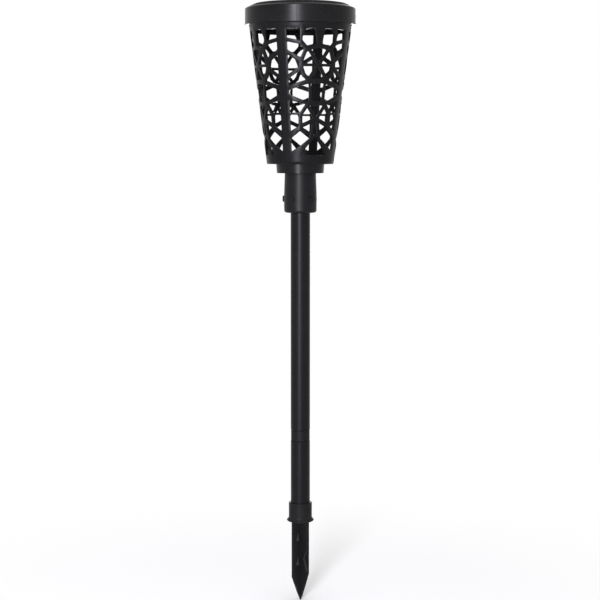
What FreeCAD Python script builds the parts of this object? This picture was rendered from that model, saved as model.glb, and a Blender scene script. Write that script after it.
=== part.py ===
import FreeCAD, Part
import os
from math import sin, cos, tan, radians, degrees, hypot

os.makedirs("parts", exist_ok=True)
V = FreeCAD.Vector

# Solar garden torch: ground spike with a socket, two plug-together tubes, an
# openwork basket on a neck, and a cap that carries the solar light.
# Millimetres. Z = 0 is the underside of the spike's flange, at ground level;
# +Z is up the pole, and -Y is the front.

# ---------------------------------------------------------------- fits
RUN_FIT = 0.05          # radial clearance of a part that slides in another
SCREW_FIT = 0.02        # radial clearance of a screw's shank in its hole
TRIM_FIT = 0.15         # clearance at each side of a piece set in a recess

# ---------------------------------------------------------------- ground spike
SPIKE_LEN = 90.2        # below the flange
SPIKE_TAPER = 27.6      # length of the point
SPIKE_TIP_R = 0.6       # blunt end
BLADE_R = 11.45         # from the axis to the edge of each of the four blades
BLADE_T = 2.6           # blade thickness
BLADE_CORNER_R = hypot(BLADE_R, BLADE_T / 2) + 0.05     # round bar that the point is turned from
BLADE_AZ = 40.0         # azimuth of the barbed pair of blades
BARB_TOP = 30.4         # V-cut in a barbed blade's edge, heights above the point's shoulder
BARB_MID = 21.1
BARB_LOW = 7.3
BARB_CUT = 5.25         # how deep the V is cut
WEDGE_FEET = (40.2, 13.0)     # feet of the wedges between the blades, heights above the shoulder
WEDGE_H = 10.8
WEDGE_OUT = 6.7         # foot's reach along one blade, from the corner
WEDGE_NOSE = 3.2        # where the foot stands out most, along that blade
WEDGE_PROUD = 2.2       # and how far
WEDGE_SIDE = 0.9        # foot's reach along the other blade
WEDGE_TIP = 2.8         # where the wedge runs out at its top, along the first blade
MERGE = 0.3             # how far a raised feature sinks into what carries it
ROOT_R = 8.9            # round boss under the flange, where the blades start
ROOT_H = 2.2
FLANGE_R = 14.7
FLANGE_EDGE = 0.5       # chamfers of the flange's edge
FLANGE_H = 1.4          # height of the flange's lip
FLARE_FOOT_R = 13.9     # foot of the flare, on the lip
FLARE_FOOT_Z = 1.6
FLARE_MID_R = 12.8
FLARE_MID_Z = 3.4
FLARE_TOP = 4.2         # where the flare meets the socket
SOCKET_R = 12.65
SOCKET_FLOOR = 5.1      # the lower tube stands on this
SOCKET_DEPTH = 15.6     # how far the lower tube stands in the spike
SOCKET_TOP = SOCKET_FLOOR + SOCKET_DEPTH
SOCKET_EDGE = 0.5       # rounding of the socket's mouth

# ---------------------------------------------------------------- tubes
TUBE_R = 10.45
TUBE_WALL = 1.2
TUBE_BORE_R = TUBE_R - TUBE_WALL
LOWER_TUBE_LEN = 84.2
LOWER_TUBE_TOP = SOCKET_FLOOR + LOWER_TUBE_LEN
UPPER_TUBE_LEN = 270.2
COUPLER_RING_H = 12.3   # visible ring between the tubes
COUPLER_RING_STEP = 0.25      # how far the ring stands in from the tubes
COUPLER_RING_R = TUBE_R - COUPLER_RING_STEP
RING_EDGE = 0.5         # chamfer round each end of the ring
TUBE_EDGE = 0.4         # chamfer round each end of a tube
COUPLER_PLUG_LEN = 24.0
COUPLER_PLUG_WALL = 1.7
COUPLER_LEAD = 1.0      # chamfer at each plug's end
UPPER_TUBE_FOOT = LOWER_TUBE_TOP + COUPLER_RING_H
UPPER_TUBE_TOP = UPPER_TUBE_FOOT + UPPER_TUBE_LEN   # the head stands on this

# ---------------------------------------------------------------- neck
NECK_GRIP = 33.7        # how far the neck reaches down over the upper tube
NECK_OVER = 8.6         # from the tube's top up to the collar disc
COLLAR_H = 9.7
NECK_FOOT = UPPER_TUBE_TOP - NECK_GRIP
NECK_TOP = UPPER_TUBE_TOP + NECK_OVER
COLLAR_TOP = NECK_TOP + COLLAR_H
NECK_SLEEVE_WALL = 2.1  # inner sleeve that holds the tube
NECK_GAP = 2.6          # hollow between the sleeve and the outer skin, at the foot
NECK_SKIN = 2.2
NECK_SLEEVE_R = TUBE_R + RUN_FIT + NECK_SLEEVE_WALL
NECK_R_FOOT = NECK_SLEEVE_R + NECK_GAP + NECK_SKIN
NECK_BULGE = 0.2        # the neck is widest a little above its foot
NECK_TAPER = 0.9        # and narrows to the collar
NECK_R_MID = NECK_R_FOOT + NECK_BULGE
NECK_R_TOP = NECK_R_MID - NECK_TAPER
NECK_MID = NECK_FOOT + 0.44 * NECK_GRIP
NECK_ROUND = 2.2
NECK_BASE = 3.6         # solid ring at the foot, below the hollow
NECK_STOP = 2.6         # thickness of the stop over the tube's end
NECK_POCKET_FOOT = NECK_FOOT + NECK_BASE
COLLAR_R_FOOT = 25.1
COLLAR_R_TOP = 25.9
COLLAR_WALL = 2.4
COLLAR_FLOOR = 2.4
PIP_AZ = (-101.0, -31.0, 40.0, 126.0, 192.0)      # round pips around the neck
PIP_R = 3.4
PIP_OUT = 1.3
PIP_Z = NECK_MID - 0.1
NECK_SCREW_BOSS_R = 3.4
NECK_SCREW_RING = COLLAR_R_FOOT - COLLAR_WALL + 0.7 - NECK_SCREW_BOSS_R
NECK_SCREW_AZ = (60.0, 180.0, 300.0)
NECK_SCREW_R = 1.4
NECK_SCREW_LEN = 6.4
NECK_SCREW_HEAD_R = 2.8
NECK_SCREW_HEAD_H = 1.8
SCREW_SPARE = 0.6       # depth of a screw's hole past its tip

# ---------------------------------------------------------------- basket
BASKET_FOOT = COLLAR_TOP
BASKET_R_FOOT = 35.75
BASKET_SLOPE = 0.1278   # growth of the radius per mm of height
BASKET_WALL = 2.2
BASKET_FLOOR = 2.2
BAND_LOW = 9.5          # top of the solid band, above the foot
BAND_TOP = 139.0        # underside of the top band, above the foot
CONE_TOP = 146.1        # where the cone meets the rim bead
RIM_STEP = 0.96         # rim bead stands out from the cone, inside the cap
RIM_R = BASKET_R_FOOT + BASKET_SLOPE * CONE_TOP + RIM_STEP
RIM_LEDGE = CONE_TOP + 1.0
RIM_TOP = CONE_TOP + 5.5      # the cap rests on this
RIM_WALL = BASKET_WALL + 0.2
PANELS = 4
PANEL_MID = 23.0        # azimuth of the first panel's middle, from the front
RIB_HALF_LOW = 4.9      # half width of the upright ribs at BAND_LOW
RIB_HALF_TOP = 5.7      # and at BAND_TOP
NOTCH_LAP = 0.5         # how far the key notch reaches below the top band
NOTCH_FROM = 204.5      # key notch in the rim, azimuths
NOTCH_TO = 210.5
CUT_DEPTH = 9.0         # how far the openings' cutters reach each side of the wall
SMALLEST_OPENING = 2.5  # mm2; anything smaller is filled

# The fretwork is one half panel, mirrored about the panel's middle. Corners
# are (degrees from the panel's middle, mm above the basket's foot).
# Struts: from, width there, to, width there.
NODE_MID_TOP = (0.0, 121.4)
NODE_ARCH = (15.2, 118.4)
NODE_POST = (22.6, 125.1)
NODE_FAN = (22.1, 102.5)
NODE_MID_FAN = (0.5, 102.3)
NODE_KITE = (12.6, 87.1)
NODE_WAIST = (11.8, 63.0)
NODE_STAR = (22.6, 52.0)
NODE_FORK = (22.4, 39.1)
STRUTS = (
    ((22.5, 124.8), 3.9, (41.0, 128.1), 3.9),   # post to rib
    ((22.8, 125.5), 5.1, (15.0, 118.1), 4.7),   # post to arch
    ((15.5, 118.4), 4.1, (4.5, 120.9), 3.9),    # arch to middle
    ((5.0, 120.9), 3.9, NODE_MID_TOP, 3.9),
    ((13.0, 118.5), 3.5, NODE_MID_FAN, 3.5),    # arch down to the middle
    ((16.2, 118.5), 4.1, (22.0, 106.0), 4.3),   # arch down to the fan
    ((0.0, 102.0), 2.7, (22.5, 102.2), 3.1),    # level bar
    ((21.8, 109.5), 4.5, (22.8, 98.0), 4.5),    # fan's upright
    ((22.0, 106.5), 4.9, (41.0, 116.4), 4.1),   # fan up to the rib
    ((22.2, 99.5), 4.1, (41.0, 88.9), 3.9),    # fan down to the rib
    ((22.2, 100.5), 4.1, (18.2, 91.1), 4.1),    # fan down to the kite
    ((18.4, 91.7), 4.1, NODE_KITE, 3.9),
    ((12.5, 87.5), 3.5, NODE_MID_FAN, 3.5),     # kite up to the middle
    ((0.0, 85.9), 4.5, (13.0, 85.7), 4.7),      # kite's level bar
    ((11.5, 85.8), 4.7, (41.0, 78.4), 4.9),     # kite to the rib
    ((9.6, 63.5), 3.1, (9.8, 74.5), 2.9),       # waist's upright
    ((9.8, 74.5), 2.9, (11.2, 85.5), 2.2),
    ((41.0, 70.1), 6.3, (20.0, 64.7), 3.5),     # rib to the waist
    ((20.5, 64.8), 3.5, (10.0, 63.1), 3.9),
    ((0.0, 63.0), 4.3, (12.0, 63.0), 4.3),      # waist's level bar
    ((12.8, 62.5), 3.9, (22.6, 51.5), 4.1),     # waist down to the star
    ((13.4, 61.5), 3.3, (2.5, 48.5), 3.3),      # waist down to the middle
    ((22.5, 52.4), 2.3, (41.0, 52.4), 2.3),     # thin level bar
    ((22.6, 53.0), 3.9, (22.8, 38.5), 3.9),     # star's upright
    ((23.0, 39.5), 4.3, (0.0, 46.9), 4.1),      # fork up to the middle
    ((21.8, 38.4), 4.9, (41.0, 29.3), 6.9),     # fork to the rib
    ((2.0, 48.5), 3.1, (6.5, 27.5), 3.1),       # middle wedge's side
)
WEBS = (
    ((23.6, 140.1), (16.2, 140.1), (20.4, 130.0), (20.8, 124.5), (23.4, 124.5)),      # post
    ((0.0, 140.1), (6.1, 140.1), (3.2, 123.5), (2.8, 120.5), (0.0, 120.5)),           # tongue
    ((0.0, 31.5), (8.0, 27.5), (23.0, 19.5), (38.3, 13.0), (45.0, 8.1), (22.0, 8.1),
     (15.6, 15.8), (9.2, 21.4), (0.0, 28.5)),                                         # foot
    ((12.5, 117.1), (14.0, 115.7), (16.2, 116.5), (17.2, 119.5), (15.0, 121.1), (12.6, 120.5)),  # arch's knot
)

# ---------------------------------------------------------------- cap
RIM_SEAT = BASKET_FOOT + RIM_TOP
CAP_LAP = 5.9           # how far the skirt hangs below the rim's top
CAP_WALL_H = 17.5       # upright wall
CAP_DOME = 5.1          # from the wall's top edge to the flat top
CAP_SKIRT = 3.25        # skirt's thickness
CAP_DRAFT = 0.1
SHOULDER_W = 10.0       # sloping shoulder, across
CAP_ROOF = 5.7          # thickness from the flat top to the ceiling
CAP_FOOT = RIM_SEAT - CAP_LAP
CAP_EDGE_Z = CAP_FOOT + CAP_WALL_H
CAP_TOP = CAP_EDGE_Z + CAP_DOME
CAP_FLAT_Z = CAP_TOP - 0.5
CAP_BORE_R = RIM_R + RUN_FIT
CAP_R = CAP_BORE_R + CAP_SKIRT
CAP_EDGE_R = CAP_R - CAP_DRAFT
CAP_FLAT_R = CAP_EDGE_R - SHOULDER_W
SHELF_W = 4.4           # width of the shelf that rests on the rim
SHELF_T = 1.8
SHELF_R = RIM_R - SHELF_W
CAP_WALL_R = RIM_R - 0.8      # inside of the wall above the shelf
CAP_CEILING = CAP_TOP - CAP_ROOF
POCKET_W = 60.0         # square recess for the solar panel, in the top
POCKET_DEPTH = 3.9
POCKET_FLOOR = CAP_TOP - POCKET_DEPTH
PAD_T = 0.5             # adhesive pad under the panel
PANEL_MARGIN = 2.0      # round the panel, inside the recess
PANEL_W = POCKET_W - 2 * PANEL_MARGIN
PANEL_T = 1.6
KEY_SIDE = 0.35         # clearance of the key in the rim's notch, each side
KEY_H = 4.4
WIRE_HOLE_R = 2.2
WIRE_HOLE_X = 8.0 - PANEL_W / 2     # near one corner of the panel
WIRE_HOLE_Y = PANEL_W / 2 - 6.0

# ---------------------------------------------------------------- light tray, under the cap
TRAY_GAP = 0.2          # between the tray and the cap's shelf
TRAY_DEPTH = 9.4
TRAY_R = SHELF_R - TRAY_GAP
TRAY_TOP = RIM_SEAT + SHELF_T
TRAY_FOOT = TRAY_TOP - TRAY_DEPTH
TRAY_PLATE = 1.8
TRAY_WALL = 1.8
TRAY_EDGE = 0.8         # chamfer round the tray's foot
PLATE_TOP = TRAY_FOOT + TRAY_PLATE
TRAY_BOSS_R = 4.0
TRAY_BOSS_H = 2.2       # above the plate
TRAY_SCREW_RING = TRAY_R - TRAY_WALL - TRAY_BOSS_R + MERGE
TRAY_SCREW_AZ = (30.0, 150.0, 270.0)
TRAY_SCREW_R = 1.3
TRAY_SCREW_LEN = 9.0
TRAY_SCREW_HEAD_R = 2.6
TRAY_SCREW_HEAD_H = 1.7
TRAY_SCREW_SINK = 2.0   # depth of the counterbore
HEAD_FIT = 0.3          # round a screw's head in its counterbore
TRAY_BOSS_TOP = PLATE_TOP + TRAY_BOSS_H
SCREW_SEAT = TRAY_FOOT + TRAY_SCREW_SINK
CAP_BOSS_R = 3.6

# battery, lying across the tray in its bay
BAT_R = 7.1
BAT_LEN = 49.2
BAT_EDGE = 0.8
BAT_NIB_R = 2.7
BAT_NIB = 1.2
BAT_Y = -22.0
BAT_CLEAR = 1.7         # from the door's inside up to the battery
BAT_Z = PLATE_TOP + BAT_CLEAR + BAT_R
SPRING_ROOM = 4.05      # pressed length of the contact spring
CONTACT_T = 0.5
CONTACT_FOLD = 1.35     # depth of the folded plus contact, in front of the wall
BAT_BAY_L = SPRING_ROOM + BAT_LEN + BAT_NIB + CONTACT_FOLD + 0.2   # opening in the tray for the battery
BAT_BAY_W = 2 * BAT_R + 2.8
BAY_WALL = 1.5
DOOR_TAB_L = 9.0        # tab that the door's screw goes through
DOOR_TAB_W = 9.0
DOOR_TAB_T = 1.0
DOOR_SCREW_X = BAT_BAY_L / 2 + DOOR_TAB_L / 2
DOOR_BOSS_R = 3.2
DOOR_BOSS_H = 6.6
CRADLE_L = 40.0         # rest for the battery, on the door
CRADLE_W = 11.0
CRADLE_H = 6.3
DOOR_SCREW_R = 1.2
DOOR_SCREW_LEN = 5.6
DOOR_SCREW_HEAD_R = 2.3
DOOR_SCREW_HEAD_H = 1.5
CONTACT_W = 9.0
CONTACT_H = 9.0
CONTACT_LEG = 2.0
SPRING_R = 3.4
SPRING_WIRE = 0.45
SPRING_TURNS = 3

# circuit board, light and switch
BOARD_X = 44.0
BOARD_Y = 24.0
BOARD_T = 1.6
BOARD_CY = 7.0
BOARD_H = 5.8           # height of the board's underside over the plate
BOARD_Z = PLATE_TOP + BOARD_H
BOARD_TOP = BOARD_Z + BOARD_T
BOARD_POST_R = 2.4
BOARD_POST_IN = 3.2     # posts, in from the board's edges
LED_R = 2.5
LED_FLANGE_R = 2.9
LED_FLANGE_H = 1.0
LED_LEG = 0.5
LED_LEG_PITCH = 2.54
LED_OUT = 0.4           # how far the light's tip stands below the tray
LED_TIP = TRAY_FOOT - LED_OUT
LED_SLEEVE_R = 4.6
LED_SLEEVE_TOP = PLATE_TOP + 3.2
CHIP_X = -14.0
CHIP_Y = 8.0
COIL_X = -4.0
COIL_Y = 12.0
CHIP_L = 4.9
CHIP_W = 3.9
CHIP_H = 1.5
COIL_R = 2.2
COIL_H = 4.6
SWITCH_X = 9.0
SWITCH_Y = 13.0
SWITCH_L = 10.0
SWITCH_W = 5.0
SWITCH_TRAVEL = 2.6
KNOB_STEM_L = 2.6
KNOB_STEM_W = 2.2
KNOB_END = 0.1          # clearance at each end of the knob's travel
SWITCH_SLOT_L = KNOB_STEM_L + SWITCH_TRAVEL + 2 * KNOB_END
SWITCH_SLOT_W = KNOB_STEM_W + 0.3
SWITCH_ROOM = 2.0       # depth of the slot in the switch's body
KNOB_HEAD_L = 3.0
KNOB_HEAD_W = 4.0
KNOB_UNDER = 0.9        # how far the knob stands below the tray
WIRE_R = 0.55
WIRE_BEND = 1.0         # radius of a wire's bends, at its middle
WIRE_DROP = 3.5         # how far the panel's wires run straight down out of the roof
WIRE_APART = 0.8        # each panel wire from the middle of its hole
WIRE_PAD_X = 14.0       # battery wires' pads on the board
WIRE_PAD_Y = 3.0


def az(theta, r, z=0.0):
    """Point at azimuth theta (0 = front, + to the right seen from the front)."""
    t = radians(theta)
    return V(r * sin(t), -r * cos(t), z)


def cyl(r, z0, z1, x=0.0, y=0.0):
    return Part.makeCylinder(r, z1 - z0, V(x, y, z0))


def box(x0, x1, y0, y1, z0, z1):
    return Part.makeBox(x1 - x0, y1 - y0, z1 - z0, V(x0, y0, z0))


def turned(points):
    """Solid of revolution about Z from (r, z) points."""
    pts = [V(r, 0, z) for r, z in points]
    wire = Part.makePolygon(pts + [pts[0]])
    return Part.Face(wire).revolve(V(0, 0, 0), V(0, 0, 1), 360)


def save(shape, name):
    shape = shape.removeSplitter()
    solids = shape.Solids
    assert len(solids) >= 1, name
    out = solids[0] if len(solids) == 1 else Part.makeCompound(solids)
    assert out.isValid(), name
    out.exportStep("parts/%s.step" % name)


def turn_z(shape, deg, centre=None):
    s = shape.copy()
    s.rotate(centre or V(0, 0, 0), V(0, 0, 1), deg)
    return s


# ================================================================ ground spike
def blade_pair(barbed):
    """Two opposite blades in the XZ plane, down to the point."""
    taper_z = -(SPIKE_LEN - SPIKE_TAPER)
    edge = [(BLADE_R, 0)]
    if barbed:
        edge += [(BLADE_R, taper_z + BARB_TOP), (BLADE_R - BARB_CUT, taper_z + BARB_MID), (BLADE_R, taper_z + BARB_LOW)]
    edge += [(BLADE_R, taper_z), (SPIKE_TIP_R, -SPIKE_LEN)]
    edge += [(-x, z) for x, z in reversed(edge)]
    pts = [V(x, -BLADE_T / 2, z) for x, z in edge]
    return Part.Face(Part.makePolygon(pts + [pts[0]])).extrude(V(0, BLADE_T, 0))


def pyramid(base, tip):
    """Solid from a flat base polygon and a tip point."""
    faces = [Part.Face(Part.makePolygon(base + [base[0]]))]
    for a, b in zip(base, base[1:] + base[:1]):
        faces.append(Part.Face(Part.makePolygon([a, b, tip, a])))
    return Part.makeSolid(Part.makeShell(faces))


def wedge(height):
    """Wedge in the corner between a blade along +X and one along +Y."""
    c = BLADE_T / 2.0
    foot_z = height - (SPIKE_LEN - SPIKE_TAPER)
    out = [(c + WEDGE_OUT, c), (c + WEDGE_NOSE, c + WEDGE_PROUD), (c, c + WEDGE_SIDE)]
    foot = [(out[0][0], c - MERGE)] + out[1:] + [(c - MERGE, c + WEDGE_SIDE), (c - MERGE, c - MERGE)]
    return pyramid([V(x, y, foot_z) for x, y in foot], V(c + WEDGE_TIP, c - MERGE, foot_z + WEDGE_H))


spike = blade_pair(True).fuse(turn_z(blade_pair(False), 90))
for height in WEDGE_FEET:
    for quarter in range(4):
        spike = spike.fuse(turn_z(wedge(height), 90 * quarter - 180))
point = turned([(0, 0), (BLADE_CORNER_R, 0), (BLADE_CORNER_R, SPIKE_TAPER - SPIKE_LEN),
                (SPIKE_TIP_R, -SPIKE_LEN), (0, -SPIKE_LEN)])
spike = turn_z(spike.common(point), BLADE_AZ - 90)
spike = spike.fuse(cyl(ROOT_R, -ROOT_H, MERGE))
socket_bore = TUBE_R + RUN_FIT
head = turned([(0, 0), (FLANGE_R - FLANGE_EDGE, 0), (FLANGE_R, FLANGE_EDGE),
               (FLANGE_R, FLANGE_H - FLANGE_EDGE), (FLANGE_R - FLANGE_EDGE, FLANGE_H),
               (FLARE_FOOT_R, FLARE_FOOT_Z), (FLARE_MID_R, FLARE_MID_Z), (SOCKET_R, FLARE_TOP),
               (SOCKET_R, SOCKET_TOP - SOCKET_EDGE), (SOCKET_R - SOCKET_EDGE, SOCKET_TOP),
               (socket_bore, SOCKET_TOP), (socket_bore, SOCKET_FLOOR), (0, SOCKET_FLOOR)])
spike = spike.fuse(head)
save(spike, "spike")

# ================================================================ tubes and their coupler
def tube(foot, top):
    return turned([(TUBE_BORE_R, foot), (TUBE_R - TUBE_EDGE, foot), (TUBE_R, foot + TUBE_EDGE),
                   (TUBE_R, top - TUBE_EDGE), (TUBE_R - TUBE_EDGE, top), (TUBE_BORE_R, top)])


save(tube(SOCKET_FLOOR, LOWER_TUBE_TOP), "lower_tube")
save(tube(UPPER_TUBE_FOOT, UPPER_TUBE_TOP), "upper_tube")

plug_r = TUBE_BORE_R - RUN_FIT
plug_in = plug_r - COUPLER_PLUG_WALL
c0, c1 = LOWER_TUBE_TOP - COUPLER_PLUG_LEN, UPPER_TUBE_FOOT + COUPLER_PLUG_LEN
coupler = turned([(plug_in, c0), (plug_r - COUPLER_LEAD, c0), (plug_r, c0 + COUPLER_LEAD),
                  (plug_r, LOWER_TUBE_TOP), (COUPLER_RING_R - RING_EDGE, LOWER_TUBE_TOP),
                  (COUPLER_RING_R, LOWER_TUBE_TOP + RING_EDGE), (COUPLER_RING_R, UPPER_TUBE_FOOT - RING_EDGE),
                  (COUPLER_RING_R - RING_EDGE, UPPER_TUBE_FOOT), (plug_r, UPPER_TUBE_FOOT),
                  (plug_r, c1 - COUPLER_LEAD), (plug_r - COUPLER_LEAD, c1), (plug_in, c1),
                  (plug_in, UPPER_TUBE_FOOT), (0, UPPER_TUBE_FOOT), (0, LOWER_TUBE_TOP), (plug_in, LOWER_TUBE_TOP)])
save(coupler, "tube_coupler")

# ================================================================ neck
bore = TUBE_R + RUN_FIT
neck = turned([(bore, NECK_FOOT), (NECK_R_FOOT - NECK_ROUND, NECK_FOOT),
               (NECK_R_FOOT - NECK_ROUND * 0.29, NECK_FOOT + NECK_ROUND * 0.29),
               (NECK_R_FOOT, NECK_FOOT + NECK_ROUND),
               (NECK_R_MID, NECK_MID), (NECK_R_TOP, NECK_TOP), (COLLAR_R_FOOT, NECK_TOP),
               (COLLAR_R_TOP, COLLAR_TOP), (COLLAR_R_TOP - COLLAR_WALL, COLLAR_TOP),
               (COLLAR_R_TOP - COLLAR_WALL, NECK_TOP + COLLAR_FLOOR),
               (NECK_R_TOP - NECK_SKIN, NECK_TOP + COLLAR_FLOOR),
               (NECK_SLEEVE_R + NECK_GAP, NECK_POCKET_FOOT), (NECK_SLEEVE_R, NECK_POCKET_FOOT),
               (NECK_SLEEVE_R, UPPER_TUBE_TOP + NECK_STOP), (0, UPPER_TUBE_TOP + NECK_STOP),
               (0, UPPER_TUBE_TOP), (bore, UPPER_TUBE_TOP)])
for a in PIP_AZ:
    d = az(a, 1.0)
    neck = neck.fuse(Part.makeCylinder(PIP_R, PIP_OUT + NECK_SKIN / 2, az(a, NECK_R_MID - NECK_SKIN / 2, PIP_Z), d))
screw_floor = COLLAR_TOP + BASKET_FLOOR - NECK_SCREW_LEN - SCREW_SPARE
for a in NECK_SCREW_AZ:
    p = az(a, NECK_SCREW_RING)
    neck = neck.fuse(cyl(NECK_SCREW_BOSS_R, NECK_TOP + COLLAR_FLOOR / 2, COLLAR_TOP, p.x, p.y))
for a in NECK_SCREW_AZ:
    p = az(a, NECK_SCREW_RING)
    neck = neck.cut(cyl(NECK_SCREW_R + SCREW_FIT, screw_floor, COLLAR_TOP + 1, p.x, p.y))
save(neck, "neck")


def screw(r, length, head_r, head_h):
    """Pan-head screw standing on z = 0, shank down, with a cross recess."""
    s = cyl(r, -length, 0.01)
    h = cyl(head_r, 0, head_h)
    h = h.makeFillet(head_h * 0.45, [e for e in h.Edges if len(e.Vertexes) == 1 and abs(e.CenterOfMass.z - head_h) < 1e-6])
    s = s.fuse(h)
    slot = box(-head_r * 0.55, head_r * 0.55, -0.3, 0.3, head_h * 0.45, head_h + 1)
    return s.cut(slot).cut(turn_z(slot, 90))


neck_screws = []
for a in NECK_SCREW_AZ:
    s = screw(NECK_SCREW_R, NECK_SCREW_LEN, NECK_SCREW_HEAD_R, NECK_SCREW_HEAD_H)
    s.translate(az(a, NECK_SCREW_RING, BASKET_FOOT + BASKET_FLOOR))
    neck_screws.append(s)
save(Part.makeCompound(neck_screws), "neck_screws")


# ================================================================ basket
def basket_r(h):
    return BASKET_R_FOOT + BASKET_SLOPE * h


def rib_edge(h):
    """Degrees from the panel's middle to the rib's edge at height h."""
    w = RIB_HALF_LOW + (RIB_HALF_TOP - RIB_HALF_LOW) * (h - BAND_LOW) / (BAND_TOP - BAND_LOW)
    return 45.0 - degrees(w / basket_r(h))


z_of = lambda h: BASKET_FOOT + h
shell = turned([(0, z_of(0)), (basket_r(0), z_of(0)), (basket_r(CONE_TOP), z_of(CONE_TOP)),
                (RIM_R, z_of(RIM_LEDGE)), (RIM_R, z_of(RIM_TOP)), (RIM_R - RIM_WALL, z_of(RIM_TOP)),
                (basket_r(CONE_TOP) - BASKET_WALL, z_of(CONE_TOP)),
                (basket_r(BASKET_FLOOR) - BASKET_WALL, z_of(BASKET_FLOOR)), (0, z_of(BASKET_FLOOR))])


def flat(points):
    pts = [V(p, h, 0) for p, h in points]
    return Part.Face(Part.makePolygon(pts + [pts[0]]))


def strut_face(a, wa, b, wb, side):
    k = radians(1.0) * basket_r((a[1] + b[1]) / 2.0)     # mm per degree
    dx, dz = (b[0] - a[0]) * k, b[1] - a[1]
    ln = hypot(dx, dz)
    nx, nz = -dz / ln / k, dx / ln
    q = [(a[0] + nx * wa / 2, a[1] + nz * wa / 2), (b[0] + nx * wb / 2, b[1] + nz * wb / 2),
         (b[0] - nx * wb / 2, b[1] - nz * wb / 2), (a[0] - nx * wa / 2, a[1] - nz * wa / 2)]
    return flat([(side * p, h) for p, h in q])


levels = [BAND_LOW + (BAND_TOP - BAND_LOW) * i / 4.0 for i in range(5)]
window = flat([(rib_edge(h), h) for h in levels] + [(-rib_edge(h), h) for h in reversed(levels)])
solid_faces = []
for side in (1, -1):
    for a, wa, b, wb in STRUTS:
        solid_faces.append(strut_face(a, wa, b, wb, side))
    for web in WEBS:
        solid_faces.append(flat([(side * p, h) for p, h in web]))
openings = window.cut(solid_faces)


def corners(face):
    """Corner points of an opening, without doubled or in-line ones."""
    pts = [(v.Point.x, v.Point.y) for v in face.OuterWire.OrderedVertexes]
    k = radians(1.0) * basket_r(sum(p[1] for p in pts) / len(pts))
    out = []
    for p in pts:
        if not out or hypot((p[0] - out[-1][0]) * k, p[1] - out[-1][1]) > 0.35:
            out.append(p)
    if len(out) > 2 and hypot((out[0][0] - out[-1][0]) * k, out[0][1] - out[-1][1]) < 0.35:
        out.pop()
    keep = []
    n = len(out)
    for i in range(n):
        a, b, c = out[i - 1], out[i], out[(i + 1) % n]
        area = abs((b[0] - a[0]) * (c[1] - a[1]) - (c[0] - a[0]) * (b[1] - a[1])) * k
        base = hypot((c[0] - a[0]) * k, c[1] - a[1])
        if base > 1e-6 and area / base > 0.05:
            keep.append(b)
    return keep, k


cutters = []
for face in openings.Faces:
    pts, k = corners(face)
    if len(pts) < 3:
        continue
    area = 0.5 * abs(sum(pts[i - 1][0] * pts[i][1] - pts[i][0] * pts[i - 1][1] for i in range(len(pts)))) * k
    if area < SMALLEST_OPENING:
        continue
    mid = 0.5 * (min(p[0] for p in pts) + max(p[0] for p in pts))
    depth = basket_r(pts[0][1]) * cos(radians(mid - pts[0][0])) - CUT_DEPTH
    ring = []
    for p, h in pts:
        t = basket_r(h) * sin(radians(p - mid))
        ring.append(V(t, -depth, z_of(h)))
    tool = Part.Face(Part.makePolygon(ring + [ring[0]])).extrude(V(0, -2.0 * CUT_DEPTH, 0))
    for i in range(PANELS):
        cutters.append(turn_z(tool, PANEL_MID + mid + i * 360.0 / PANELS))
basket = shell.cut(cutters)
# key notch in the rim
n0 = z_of(BAND_TOP) - NOTCH_LAP
sector = Part.makePolygon([V(0, 0, n0), az(NOTCH_FROM, 2 * RIM_R, n0), az(NOTCH_TO, 2 * RIM_R, n0), V(0, 0, n0)])
notch = Part.Face(sector).extrude(V(0, 0, RIM_SEAT + 1 - n0))
notch = notch.cut(cyl(RIM_R / 2, n0 - 1, RIM_SEAT + 2))
basket = basket.cut(notch)
for a in NECK_SCREW_AZ:
    p = az(a, NECK_SCREW_RING)
    basket = basket.cut(cyl(NECK_SCREW_R + SCREW_FIT, BASKET_FOOT - 1, BASKET_FOOT + BASKET_FLOOR + 1, p.x, p.y))
save(basket, "basket")

# ================================================================ cap shell
z_shelf = RIM_SEAT
cap = turned([(0, CAP_TOP), (CAP_FLAT_R - 3.0, CAP_TOP), (CAP_FLAT_R, CAP_FLAT_Z), (CAP_EDGE_R - 0.8, CAP_EDGE_Z + 0.35),
              (CAP_EDGE_R, CAP_EDGE_Z - 0.5), (CAP_R, CAP_FOOT), (CAP_BORE_R, CAP_FOOT), (CAP_BORE_R, z_shelf),
              (SHELF_R, z_shelf), (SHELF_R, z_shelf + SHELF_T), (CAP_WALL_R, z_shelf + SHELF_T),
              (CAP_WALL_R, CAP_CEILING - 1.5), (CAP_WALL_R - 1.5, CAP_CEILING), (0, CAP_CEILING)])
cap = cap.cut(box(-POCKET_W / 2, POCKET_W / 2, -POCKET_W / 2, POCKET_W / 2, POCKET_FLOOR, CAP_TOP + 1))
# key that drops in the rim's notch
k0 = CAP_FOOT + 1.0
spread = degrees(KEY_SIDE / RIM_R)
ks = Part.makePolygon([V(0, 0, k0), az(NOTCH_FROM + spread, 2 * RIM_R, k0), az(NOTCH_TO - spread, 2 * RIM_R, k0), V(0, 0, k0)])
key = Part.Face(ks).extrude(V(0, 0, z_shelf - k0))
key = key.common(cyl(CAP_BORE_R + MERGE, k0 - 1, z_shelf + 1).cut(cyl(RIM_R - RIM_WALL, k0 - 2, z_shelf + 2)))
cap = cap.fuse(key)
for a in TRAY_SCREW_AZ:
    p = az(a, TRAY_SCREW_RING)
    cap = cap.fuse(cyl(CAP_BOSS_R, TRAY_BOSS_TOP, CAP_CEILING + MERGE, p.x, p.y))
for a in TRAY_SCREW_AZ:
    p = az(a, TRAY_SCREW_RING)
    cap = cap.cut(cyl(TRAY_SCREW_R + SCREW_FIT, TRAY_BOSS_TOP - 1, SCREW_SEAT + TRAY_SCREW_LEN + SCREW_SPARE, p.x, p.y))
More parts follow.
